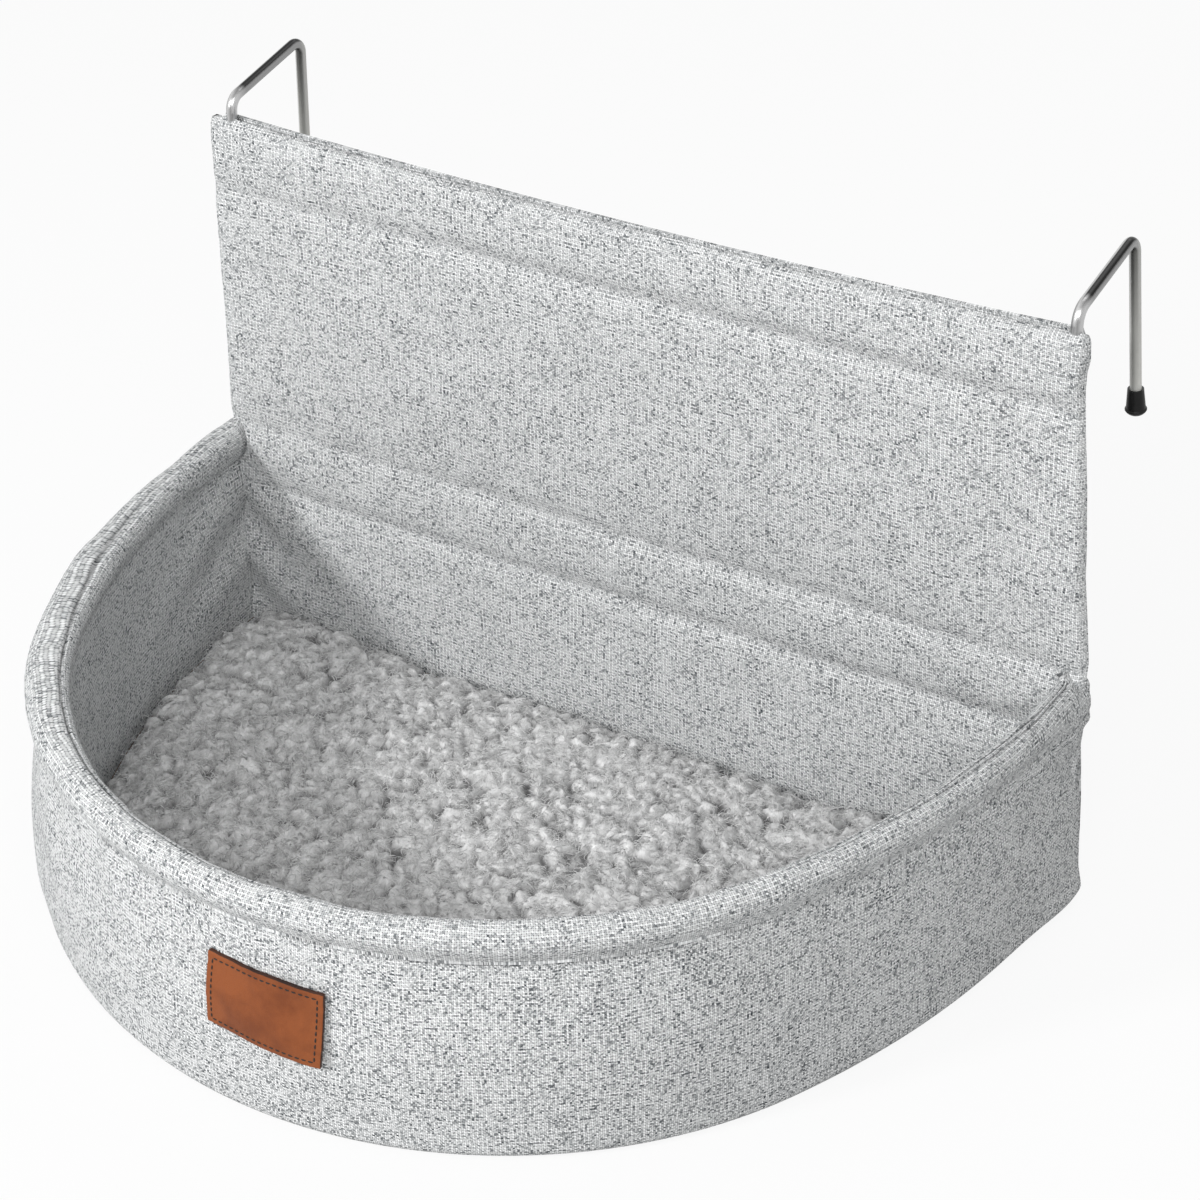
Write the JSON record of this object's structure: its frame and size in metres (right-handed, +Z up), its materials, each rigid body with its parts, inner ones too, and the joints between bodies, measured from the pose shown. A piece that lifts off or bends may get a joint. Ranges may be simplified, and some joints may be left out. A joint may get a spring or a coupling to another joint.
{
  "type": "radiator cat hammock",
  "caption": "D-shaped padded fabric cat bed with a raised back panel, wire frame and two hooks that hang over a radiator; fleece cushion lifts out.",
  "frame": {"origin": "centre of the bed's flat underside, where the base_rest mount is", "axes": "+X along the radiator to the right as seen from the room, +Y towards the radiator, +Z up"},
  "size_m": [0.4504, 0.3629, 0.2953],
  "materials": {
    "woven_cloth": "pale grey melange basket weave",
    "fleece": "curly pale grey pile",
    "foam": "open cell foam",
    "backing_cloth": "non-slip backing cloth",
    "hardboard": "pressed board",
    "steel_wire": "plated steel wire with drawing lines",
    "black_rubber": "satin moulded rubber",
    "leather": "tan split leather, blank"
  },
  "bodies": {
    "bed": {"left_hook_rod": "steel_wire", "right_hook_rod": "steel_wire", "left_hook_cap": "black_rubber", "right_hook_cap": "black_rubber", "top_hem_bar": "steel_wire", "rim_hoop": "steel_wire", "rim_sleeve": "woven_cloth", "outer_wall_cloth": "woven_cloth", "wall_foam": "foam", "wall_lining": "woven_cloth", "front_cover": "woven_cloth", "rear_cover": "woven_cloth", "panel_pad": "foam", "bowl_back_foam": "foam", "base_cloth": "woven_cloth", "base_board": "hardboard", "floor_lining": "woven_cloth", "leather_patch": "leather"},
    "cushion": {"cushion_fleece": "fleece", "cushion_core": "foam", "cushion_backing": "backing_cloth"}
  },
  "joints": [
    {"name": "cushion_lift", "type": "slide", "parent": "bed", "child": "cushion", "axis": [0, 0, 1], "range_m": [0, 0.12]}
  ]
}
